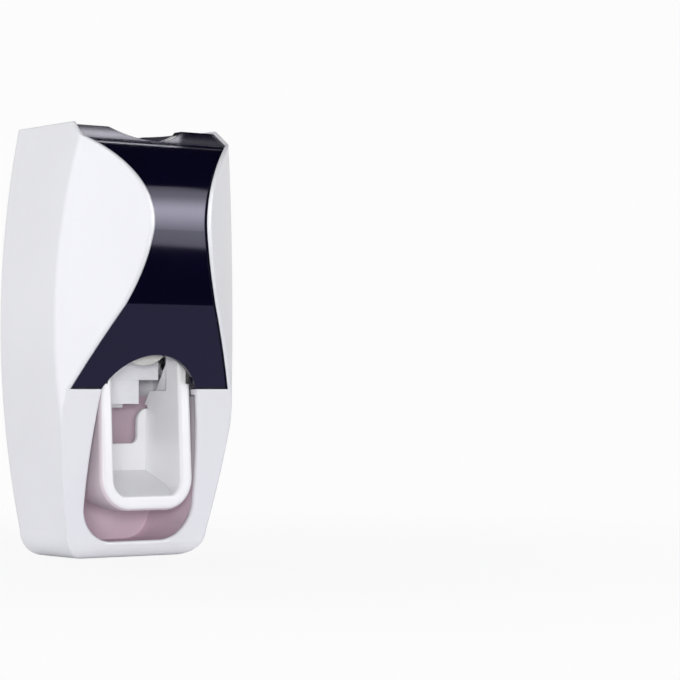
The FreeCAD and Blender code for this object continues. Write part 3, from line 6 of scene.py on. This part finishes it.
import bpy
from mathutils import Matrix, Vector


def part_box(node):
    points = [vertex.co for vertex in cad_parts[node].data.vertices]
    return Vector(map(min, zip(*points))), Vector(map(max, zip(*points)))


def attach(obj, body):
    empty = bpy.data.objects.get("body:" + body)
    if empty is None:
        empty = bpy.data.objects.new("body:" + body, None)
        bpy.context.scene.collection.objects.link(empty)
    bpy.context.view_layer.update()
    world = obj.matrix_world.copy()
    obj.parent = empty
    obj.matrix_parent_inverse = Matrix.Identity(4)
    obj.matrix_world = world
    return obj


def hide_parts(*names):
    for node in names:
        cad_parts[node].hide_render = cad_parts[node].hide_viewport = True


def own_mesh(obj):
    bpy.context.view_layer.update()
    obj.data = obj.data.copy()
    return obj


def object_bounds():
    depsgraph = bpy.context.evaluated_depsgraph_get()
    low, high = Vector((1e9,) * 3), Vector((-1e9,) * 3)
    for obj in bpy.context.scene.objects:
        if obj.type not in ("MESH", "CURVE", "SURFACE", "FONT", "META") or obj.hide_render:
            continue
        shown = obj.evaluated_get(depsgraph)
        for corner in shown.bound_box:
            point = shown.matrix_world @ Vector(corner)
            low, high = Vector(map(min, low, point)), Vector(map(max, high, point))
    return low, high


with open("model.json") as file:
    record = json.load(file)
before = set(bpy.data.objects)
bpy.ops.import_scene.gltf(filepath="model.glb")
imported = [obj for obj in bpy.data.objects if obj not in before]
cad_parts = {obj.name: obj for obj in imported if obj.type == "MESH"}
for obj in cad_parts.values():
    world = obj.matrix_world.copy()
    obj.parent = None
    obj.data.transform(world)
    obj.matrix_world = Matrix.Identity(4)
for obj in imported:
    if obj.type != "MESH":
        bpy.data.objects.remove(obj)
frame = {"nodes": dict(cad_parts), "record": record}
cad_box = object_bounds()

MM = 0.001
NODES = frame["nodes"]

# Camera, as the photograph was taken
IMAGE_WIDTH_PX = 680
FOCAL_PX = 2571.0
CAMERA_PLACE = Vector((-0.5172, -0.8432, -0.0509))
CAMERA_PAN = math.radians(37.09)
CAMERA_TILT = math.radians(1.18)
SENSOR = 36.0
NEAREST_SEEN = 0.01

# Floor, and the white that it fades into
FLOOR_HEIGHT = cad_box[0].z - 0.5 * MM
FLOOR_RADIUS = 6.0
FLOOR_SIDES = 96
FLOOR_WHITE = (0.93, 0.93, 0.93)
BACKDROP_WHITE = (0.975, 0.975, 0.975)
SHADOW_REACH = (0.08, 0.4)
SHADOW_FADE_SHARE = 0.92

# Light: each lamp has its place, its width and height, and its power in watts
FILL_TINT = (0.97, 0.975, 1.0)
FILL_STRENGTH = 0.39
LIT_POINT = Vector((0, -0.03, 0))
LAMPS = {
    "key_softbox": ((-0.88, -1.38, 0.03), (0.5, 0.26), 12.6),
    "left_fill": ((-1.45, 0.1, 0.3), (0.8, 0.8), 3.5),
    "right_fill": ((1.2, -0.8, 0.35), (0.8, 0.8), 2.8),
    "back_fill": ((0.4, 1.6, 0.7), (0.9, 0.9), 8.5),
}

# Studio cards that the glossy front mirrors
SOFTBOX_TINT = (0.95, 0.94, 1.0)
FLOOR_CARD_TINT = (0.66, 0.62, 1.0)
CARD_BLACK = (0.008, 0.008, 0.012)
PLAIN = 1.0
MIRRORED_BEARING = math.radians(31)
ROOF_HEIGHT = 0.52
FLAG_HEIGHT = 0.12
STRIP_HEIGHT = 0.119
FLOOR_CARD_HEIGHT = FLOOR_HEIGHT + 1 * MM

# Brightness of a card, as pairs of a share of its height and a share of its strength
EVEN = ((0.0, 1.0), (1.0, 1.0))
SOFTBOX_FALLOFF = ((0.0, 0.30), (0.47, 1.0), (0.8, 0.34), (1.0, 0.2))

# Distance, width, foot, top, tint, strength and falloff of each card that stands
UPRIGHT_CARDS = {
    "mirrored_softbox": (0.45, 0.14, -0.083, 0.346, SOFTBOX_TINT, 9.2, SOFTBOX_FALLOFF),
    "black_wall": (0.7, 2.2, FLOOR_HEIGHT, 0.6, CARD_BLACK, PLAIN, EVEN),
}

# Left, right, front, back, height, tint and strength of each card that lies level
LEVEL_CARDS = {
    "black_roof": (-0.35, 1.3, -0.9, 0.1, ROOF_HEIGHT, CARD_BLACK, PLAIN),
    "black_flag": (-0.05, 0.3, -0.13, 0.12, FLAG_HEIGHT, CARD_BLACK, PLAIN),
    "mirrored_strip": (0.01, 0.066, -0.0144, -0.0118, STRIP_HEIGHT, SOFTBOX_TINT, 7.0),
    "mirrored_strip_end": (0.066, 0.09, -0.0148, -0.0132, STRIP_HEIGHT, SOFTBOX_TINT, 1.2),
    "pale_floor_strip": (-0.1, 0.35, -0.165, -0.05, FLOOR_CARD_HEIGHT, FLOOR_CARD_TINT, 0.72),
    "black_floor": (-0.6, 1.0, -1.2, -0.166, FLOOR_CARD_HEIGHT, CARD_BLACK, PLAIN),
}

# Colours of the part, in linear light
SHELL_WHITE = (0.85, 0.85, 0.885)
LEVER_WHITE = (0.91, 0.91, 0.925)
TRIM_NAVY = (0.0024, 0.0018, 0.0115)
COOL_GLOSS = (0.88, 0.86, 1.0, 1)
LINER_MAUVE = (0.78, 0.62, 0.71)
# painted shade and painted mauve bounce light from the liner, laid on the lever's white skirt
SKIRT_PAINTED_BOUNCE = (0.70, 0.61, 0.66)
LINER_EDGE_WHITE = (0.85, 0.84, 0.87)
PUMP_WHITE = (0.87, 0.87, 0.90)
BRACKET_GREY = (0.72, 0.72, 0.75)
ACETAL_WHITE = (0.74, 0.74, 0.71)
SILICONE_MILK = (0.72, 0.72, 0.73)
RUBBER_BLACK = (0.016, 0.016, 0.018)
FOAM_WHITE = (0.68, 0.68, 0.65)
STEEL_GREY = (0.56, 0.56, 0.58)

# Where the painted shade and mauve bounce on the lever's skirt, and the white of the liner's side
# walls, begin
SKIRT_FLATNESS = 0.4
SKIRT_FACING = (0.4, 0.65)
LINER_SIDE_DEPTH = 2 * MM
LINER_WHITE_RISE = 8 * MM
LINER_BLEND = 1 * MM

# Shader settings that all materials share
NOISE_DETAIL = 3.0
GLOSS_DETAIL = 4.0
MOTTLE_SPAN = (0.35, 0.65)
BEVEL_SAMPLES = 6

# Sockets of a colour mix, which has several of the same name
MIX_FACTOR = 0
MIX_FIRST = 6
MIX_SECOND = 7
MIX_RESULT = 2


class Shader:
    """A material under construction, with short calls for the nodes that it takes."""

    def __init__(self, name, colour, roughness, metallic=0.0):
        self.material = bpy.data.materials.new(name)
        self.material.use_nodes = True
        self.nodes = self.material.node_tree.nodes
        self.links = self.material.node_tree.links
        self.surface = self.nodes["Principled BSDF"]
        self.surface.inputs["Base Color"].default_value = (*colour, 1)
        self.surface.inputs["Roughness"].default_value = roughness
        self.surface.inputs["Metallic"].default_value = metallic
        self.colour = colour
        self.place = self.nodes.new("ShaderNodeTexCoord").outputs["Object"]
        self.normal = None

    def noise(self, size, detail=NOISE_DETAIL, stretch=None):
        """Noise whose features are about one size across, in metres."""
        texture = self.nodes.new("ShaderNodeTexNoise")
        texture.inputs["Scale"].default_value = 1 / size
        texture.inputs["Detail"].default_value = detail
        source = self.place
        if stretch:
            mapping = self.nodes.new("ShaderNodeMapping")
            mapping.inputs["Scale"].default_value = stretch
            self.links.new(source, mapping.inputs["Vector"])
            source = mapping.outputs["Vector"]
        self.links.new(source, texture.inputs["Vector"])
        return texture.outputs["Fac"]

    def cells(self, size):
        """Rounded cells about one size across, in metres."""
        texture = self.nodes.new("ShaderNodeTexVoronoi")
        texture.inputs["Scale"].default_value = 1 / size
        self.links.new(self.place, texture.inputs["Vector"])
        return texture.outputs["Distance"]

    def mottle(self, size, share):
        """Slow colour variation, by a share of the colour each way."""
        low = [channel * (1 - share) for channel in self.colour]
        high = [min(1.0, channel * (1 + share)) for channel in self.colour]
        ramp = self.nodes.new("ShaderNodeValToRGB")
        for stop, position, colour in zip(ramp.color_ramp.elements, MOTTLE_SPAN, (low, high)):
            stop.position = position
            stop.color = (*colour, 1)
        self.links.new(self.noise(size), ramp.inputs["Fac"])
        self.links.new(ramp.outputs["Color"], self.surface.inputs["Base Color"])
        return self

    def gloss_range(self, size, low, high, stretch=None):
        """Roughness that wanders between two values."""
        spread = self.nodes.new("ShaderNodeMapRange")
        spread.inputs["To Min"].default_value = low
        spread.inputs["To Max"].default_value = high
        self.links.new(self.noise(size, GLOSS_DETAIL, stretch), spread.inputs["Value"])
        self.links.new(spread.outputs["Result"], self.surface.inputs["Roughness"])
        return self

    def soft_edges(self, radius):
        """Rounds the look of sharp edges, as a moulded part has them."""
        bevel = self.nodes.new("ShaderNodeBevel")
        bevel.samples = BEVEL_SAMPLES
        bevel.inputs["Radius"].default_value = radius
        self.normal = bevel.outputs["Normal"]
        self.links.new(self.normal, self.surface.inputs["Normal"])
        return self

    def relief(self, height, depth, strength):
        """Adds fine relief from a value."""
        bump = self.nodes.new("ShaderNodeBump")
        bump.inputs["Distance"].default_value = depth
        bump.inputs["Strength"].default_value = strength
        self.links.new(height, bump.inputs["Height"])
        if self.normal:
            self.links.new(self.normal, bump.inputs["Normal"])
        self.normal = bump.outputs["Normal"]
        self.links.new(self.normal, self.surface.inputs["Normal"])
        return self

    def tint(self, share, colour):
        """Blends the colour into another one where a share goes from 0 to 1."""
        blend = self.nodes.new("ShaderNodeMix")
        blend.data_type = "RGBA"
        base = self.surface.inputs["Base Color"]
        self.links.new(share, blend.inputs[MIX_FACTOR])
        self.links.new(base.links[0].from_socket, blend.inputs[MIX_FIRST])
        blend.inputs[MIX_SECOND].default_value = (*colour, 1)
        self.links.new(blend.outputs[MIX_RESULT], base)
        return self

    def share_between(self, value, start, end):
        """A share that goes from 0 to 1 as a value goes from start to end."""
        share = self.nodes.new("ShaderNodeMapRange")
        share.inputs["From Min"].default_value = start
        share.inputs["From Max"].default_value = end
        self.links.new(value, share.inputs["Value"])
        return share.outputs["Result"]

    def high_at_sides(self, distance, height, blend):
        """Whether a point lies beyond a distance from the middle, and above a height."""
        axes = self.nodes.new("ShaderNodeSeparateXYZ")
        self.links.new(self.place, axes.inputs["Vector"])
        aside = self.nodes.new("ShaderNodeMath")
        aside.operation = "ABSOLUTE"
        self.links.new(axes.outputs["X"], aside.inputs[0])
        both = self.nodes.new("ShaderNodeMath")
        both.operation = "MULTIPLY"
        starts = ((aside.outputs["Value"], distance), (axes.outputs["Z"], height))
        for index, (value, start) in enumerate(starts):
            self.links.new(self.share_between(value, start, start + blend), both.inputs[index])
        return both.outputs["Value"]

    def faces_out(self, centre, flatness, facing):
        """Whether the surface faces away from a centre line that runs from front to back."""
        value = self.place
        for operation, operand in (("SUBTRACT", centre), ("MULTIPLY", (1, 0, flatness)),
                                   ("NORMALIZE", None)):
            step = self.nodes.new("ShaderNodeVectorMath")
            step.operation = operation
            self.links.new(value, step.inputs[0])
            if operand:
                step.inputs[1].default_value = operand
            value = step.outputs["Vector"]
        outward = self.nodes.new("ShaderNodeVectorMath")
        outward.operation = "DOT_PRODUCT"
        self.links.new(value, outward.inputs[0])
        self.links.new(self.nodes["Texture Coordinate"].outputs["Normal"], outward.inputs[1])
        return self.share_between(outward.outputs["Value"], *facing)

    def set(self, **values):
        """Sets sockets of the surface, with spaces written as underscores."""
        for name, value in values.items():
            self.surface.inputs[name.replace("_", " ")].default_value = value
        return self


def moulded_gloss(name, colour):
    """Smooth glossy moulding with a faint orange peel."""
    shader = Shader(name, colour, roughness=0.30)
    shader.mottle(size=60 * MM, share=0.012)
    shader.gloss_range(size=25 * MM, low=0.26, high=0.36)
    shader.soft_edges(radius=0.8 * MM)
    shader.relief(shader.noise(size=2.5 * MM, detail=2.0), depth=0.02 * MM, strength=0.35)
    return shader.set(Coat_Weight=0.25, Coat_Roughness=0.12)


def lever_gloss():
    """White rim and cup of the lever, with painted shade and painted mauve bounce light from the
    liner on the skirt round its outside.
    """
    low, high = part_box("push_lever")
    shader = moulded_gloss("moulded_lever_white", LEVER_WHITE)
    # The skirt's mauve is painted shade and bounce light from the liner, not a colour of the
    # moulding.
    painted_bounce_share = shader.faces_out((low + high) / 2, SKIRT_FLATNESS, SKIRT_FACING)
    return shader.tint(painted_bounce_share, SKIRT_PAINTED_BOUNCE)


def piano_gloss():
    """Polished blue-black front."""
    shader = Shader("piano_gloss", TRIM_NAVY, roughness=0.10)
    shader.mottle(size=30 * MM, share=0.1)
    shader.gloss_range(size=12 * MM, low=0.08, high=0.12)
    shader.soft_edges(radius=0.45 * MM)
    shader.relief(shader.noise(size=14 * MM, detail=1.0), depth=0.02 * MM, strength=0.15)
    return shader.set(Specular_Tint=COOL_GLOSS)


def satin_plastic(name, colour, grain=0.35 * MM, depth=0.03 * MM):
    """Spark-eroded texture of an inner moulding."""
    shader = Shader(name, colour, roughness=0.5)
    shader.mottle(size=14 * MM, share=0.03)
    shader.gloss_range(size=6 * MM, low=0.44, high=0.58)
    shader.soft_edges(radius=0.3 * MM)
    return shader.relief(shader.noise(size=grain, detail=2.0), depth, strength=0.6)


def liner():
    """Mauve liner of the recess, whose side walls are white beside the lever."""
    shader = satin_plastic("satin_mauve", LINER_MAUVE)
    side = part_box("recess_backing")[1].x - LINER_SIDE_DEPTH
    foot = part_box("push_lever")[0].z + LINER_WHITE_RISE
    return shader.tint(shader.high_at_sides(side, foot, LINER_BLEND), LINER_EDGE_WHITE)


def soft_rubber(name, colour, roughness):
    """Silicone or rubber with a dusty sheen."""
    shader = Shader(name, colour, roughness)
    shader.mottle(size=5 * MM, share=0.06)
    shader.soft_edges(radius=0.25 * MM)
    shader.relief(shader.noise(size=0.6 * MM), depth=0.03 * MM, strength=0.5)
    return shader.set(Sheen_Weight=0.25)


def foam():
    """Closed-cell foam of the adhesive pad."""
    shader = Shader("closed_cell_foam", FOAM_WHITE, roughness=0.85)
    shader.mottle(size=3 * MM, share=0.08)
    return shader.relief(shader.cells(size=0.5 * MM), depth=0.12 * MM, strength=0.9)


def bright_steel():
    """Zinc-plated steel with fine drawing marks."""
    shader = Shader("bright_steel", STEEL_GREY, roughness=0.28, metallic=1.0)
    shader.mottle(size=4 * MM, share=0.08)
    shader.gloss_range(size=1.2 * MM, low=0.2, high=0.38, stretch=(1, 1, 8))
    shader.soft_edges(radius=0.12 * MM)
    marks = shader.noise(size=0.3 * MM, detail=2.0, stretch=(6, 1, 1))
    return shader.relief(marks, depth=0.01 * MM, strength=0.5)


def make_shaders():
    """The shader of each material slot in the record."""
    return {
        "white_shell": moulded_gloss("moulded_white", SHELL_WHITE),
        "lever_white": lever_gloss(),
        "dark_gloss": piano_gloss(),
        "mauve_liner": liner(),
        "grey_plastic": satin_plastic("satin_grey", BRACKET_GREY),
        "pump_white": satin_plastic("satin_pump_white", PUMP_WHITE, grain=0.25 * MM),
        "acetal": satin_plastic("waxy_acetal", ACETAL_WHITE, grain=0.8 * MM, depth=0.015 * MM),
        "silicone": soft_rubber("milky_silicone", SILICONE_MILK, roughness=0.42),
        "dark_rubber": soft_rubber("black_rubber", RUBBER_BLACK, roughness=0.6),
        "foam": foam(),
        "steel": bright_steel(),
    }


def dress_nodes():
    """Gives every CAD node the material of its slot in the record."""
    shaders = make_shaders()
    for row in frame["record"]["subparts"]:
        mesh = NODES[row["node"]].data
        mesh.materials.clear()
        mesh.materials.append(shaders[row["material_slot"]].material)


def add_spring():
    """The piston's wound spring, copied from its CAD part and attached to the dispenser's body."""
    spring = bpy.data.objects.new("wound_spring", NODES["piston_spring"].data.copy())
    bpy.context.scene.collection.objects.link(spring)
    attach(spring, "dispenser")
    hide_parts("piston_spring")
    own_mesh(spring)


def seen_white(tree, lit):
    """For the camera, blends a lit floor into plain white with distance from the part."""
    nodes, links = tree.nodes, tree.links
    white = nodes.new("ShaderNodeEmission")
    white.inputs["Color"].default_value = (*BACKDROP_WHITE, 1)
    rays = nodes.new("ShaderNodeLightPath")
    place = nodes.new("ShaderNodeTexCoord")
    distance = nodes.new("ShaderNodeVectorMath")
    distance.operation = "LENGTH"
    links.new(place.outputs["Object"], distance.inputs[0])
    fade = nodes.new("ShaderNodeMapRange")
    fade.inputs["From Min"].default_value = SHADOW_REACH[0]
    fade.inputs["From Max"].default_value = SHADOW_REACH[1]
    fade.inputs["To Min"].default_value = SHADOW_FADE_SHARE
    links.new(distance.outputs["Value"], fade.inputs["Value"])
    by_camera = nodes.new("ShaderNodeMath")
    by_camera.operation = "MULTIPLY"
    links.new(fade.outputs["Result"], by_camera.inputs[0])
    links.new(rays.outputs["Is Camera Ray"], by_camera.inputs[1])
    blend = nodes.new("ShaderNodeMixShader")
    links.new(by_camera.outputs["Value"], blend.inputs["Fac"])
    links.new(lit, blend.inputs[1])
    links.new(white.outputs["Emission"], blend.inputs[2])
    return blend.outputs["Shader"]


def add_floor():
    """Pale floor just under the housing's foot, which fades into the white backdrop."""
    bpy.ops.mesh.primitive_circle_add(vertices=FLOOR_SIDES, radius=FLOOR_RADIUS,
                                      fill_type="NGON", location=(0, 0, FLOOR_HEIGHT))
    floor = bpy.context.object
    floor.name = "studio_floor"
    shader = Shader("pale_floor", FLOOR_WHITE, roughness=0.9)
    shader.mottle(size=400 * MM, share=0.004)
    tree = shader.material.node_tree
    output = tree.nodes["Material Output"]
    tree.links.new(seen_white(tree, shader.surface.outputs["BSDF"]), output.inputs["Surface"])
    floor.data.materials.append(shader.material)


def add_world():
    """White wherever it is seen or mirrored, and a soft fill for diffuse light."""
    world = bpy.data.worlds.new("studio")
    bpy.context.scene.world = world
    world.use_nodes = True
    nodes, links = world.node_tree.nodes, world.node_tree.links
    fill = nodes["Background"]
    fill.inputs["Color"].default_value = (*FILL_TINT, 1)
    fill.inputs["Strength"].default_value = FILL_STRENGTH
    seen = nodes.new("ShaderNodeBackground")
    seen.inputs["Color"].default_value = (*BACKDROP_WHITE, 1)
    rays = nodes.new("ShaderNodeLightPath")
    total = rays.outputs["Is Camera Ray"]
    for kind in ("Is Glossy Ray", "Is Transmission Ray"):
        either = nodes.new("ShaderNodeMath")
        either.operation = "MAXIMUM"
        links.new(total, either.inputs[0])
        links.new(rays.outputs[kind], either.inputs[1])
        total = either.outputs["Value"]
    blend = nodes.new("ShaderNodeMixShader")
    links.new(total, blend.inputs["Fac"])
    links.new(fill.outputs["Background"], blend.inputs[1])
    links.new(seen.outputs["Background"], blend.inputs[2])
    links.new(blend.outputs["Shader"], nodes["World Output"].inputs["Surface"])


def add_lamp(name, place, size, power):
    """A softbox at a place, turned to the part, that lights without being mirrored."""
    data = bpy.data.lights.new(name, "AREA")
    data.shape = "RECTANGLE"
    data.size, data.size_y = size
    data.energy = power
    lamp = bpy.data.objects.new(name, data)
    bpy.context.scene.collection.objects.link(lamp)
    lamp.location = place
    lamp.rotation_euler = (LIT_POINT - Vector(place)).to_track_quat("-Z", "Y").to_euler()
    lamp.visible_camera = False
    lamp.visible_glossy = False


def card_material(name, tint, strength, falloff):
    """A glow whose brightness follows a falloff from the card's foot to its top."""
    material = bpy.data.materials.new(name)
    material.use_nodes = True
    nodes, links = material.node_tree.nodes, material.node_tree.links
    nodes.remove(nodes["Principled BSDF"])
    glow = nodes.new("ShaderNodeEmission")
    glow.inputs["Strength"].default_value = strength
    place = nodes.new("ShaderNodeTexCoord")
    axes = nodes.new("ShaderNodeSeparateXYZ")
    links.new(place.outputs["UV"], axes.inputs["Vector"])
    ramp = nodes.new("ShaderNodeValToRGB")
    ramp.color_ramp.interpolation = "EASE"
    stops = ramp.color_ramp.elements
    for index, (position, level) in enumerate(falloff):
        stop = stops[index] if index < 2 else stops.new(position)
        stop.position = position
        stop.color = (*(level * channel for channel in tint), 1)
    links.new(axes.outputs["Y"], ramp.inputs["Fac"])
    links.new(ramp.outputs["Color"], glow.inputs["Color"])
    links.new(glow.outputs["Emission"], nodes["Material Output"].inputs["Surface"])
    return material


def add_card(name, corners, tint, strength, falloff):
    """A studio card that only shows in reflections."""
    mesh = bpy.data.meshes.new(name)
    mesh.from_pydata(corners, [], [(0, 1, 2, 3)])
    uv = mesh.uv_layers.new(name="card")
    for loop, corner in enumerate(((0, 0), (1, 0), (1, 1), (0, 1))):
        uv.data[loop].uv = corner
    mesh.materials.append(card_material(name, tint, strength, falloff))
    card = bpy.data.objects.new(name, mesh)
    bpy.context.scene.collection.objects.link(card)
    card.visible_camera = False
    card.visible_diffuse = False
    card.visible_shadow = False
    card.visible_transmission = False


def add_upright_card(name, distance, width, foot, top, tint, strength, falloff):
    """A standing card that faces the part from the side that its front mirrors."""
    across = Vector((math.cos(MIRRORED_BEARING), math.sin(MIRRORED_BEARING))) * width / 2
    middle = Vector((math.sin(MIRRORED_BEARING), -math.cos(MIRRORED_BEARING))) * distance
    left, right = middle - across, middle + across
    corners = [(*left, foot), (*right, foot), (*right, top), (*left, top)]
    add_card(name, corners, tint, strength, falloff)


def add_level_card(name, left, right, front, back, height, tint, strength):
    """A card that lies level, on the floor or overhead."""
    corners = [(left, front, height), (right, front, height),
               (right, back, height), (left, back, height)]
    add_card(name, corners, tint, strength, EVEN)


def add_camera():
    """The photograph's viewpoint."""
    data = bpy.data.cameras.new("photo_camera")
    data.sensor_width = SENSOR
    data.lens = FOCAL_PX / IMAGE_WIDTH_PX * SENSOR
    data.clip_start = NEAREST_SEEN
    camera = bpy.data.objects.new("photo_camera", data)
    bpy.context.scene.collection.objects.link(camera)
    camera.location = CAMERA_PLACE
    camera.rotation_euler = (math.pi / 2 + CAMERA_TILT, 0, -CAMERA_PAN)
    bpy.context.scene.camera = camera


dress_nodes()
add_spring()
add_floor()
add_world()
for lamp_name, settings in LAMPS.items():
    add_lamp(lamp_name, *settings)
for card_name, settings in UPRIGHT_CARDS.items():
    add_upright_card(card_name, *settings)
for card_name, settings in LEVEL_CARDS.items():
    add_level_card(card_name, *settings)
add_camera()
bpy.context.scene.view_settings.view_transform = "Standard"
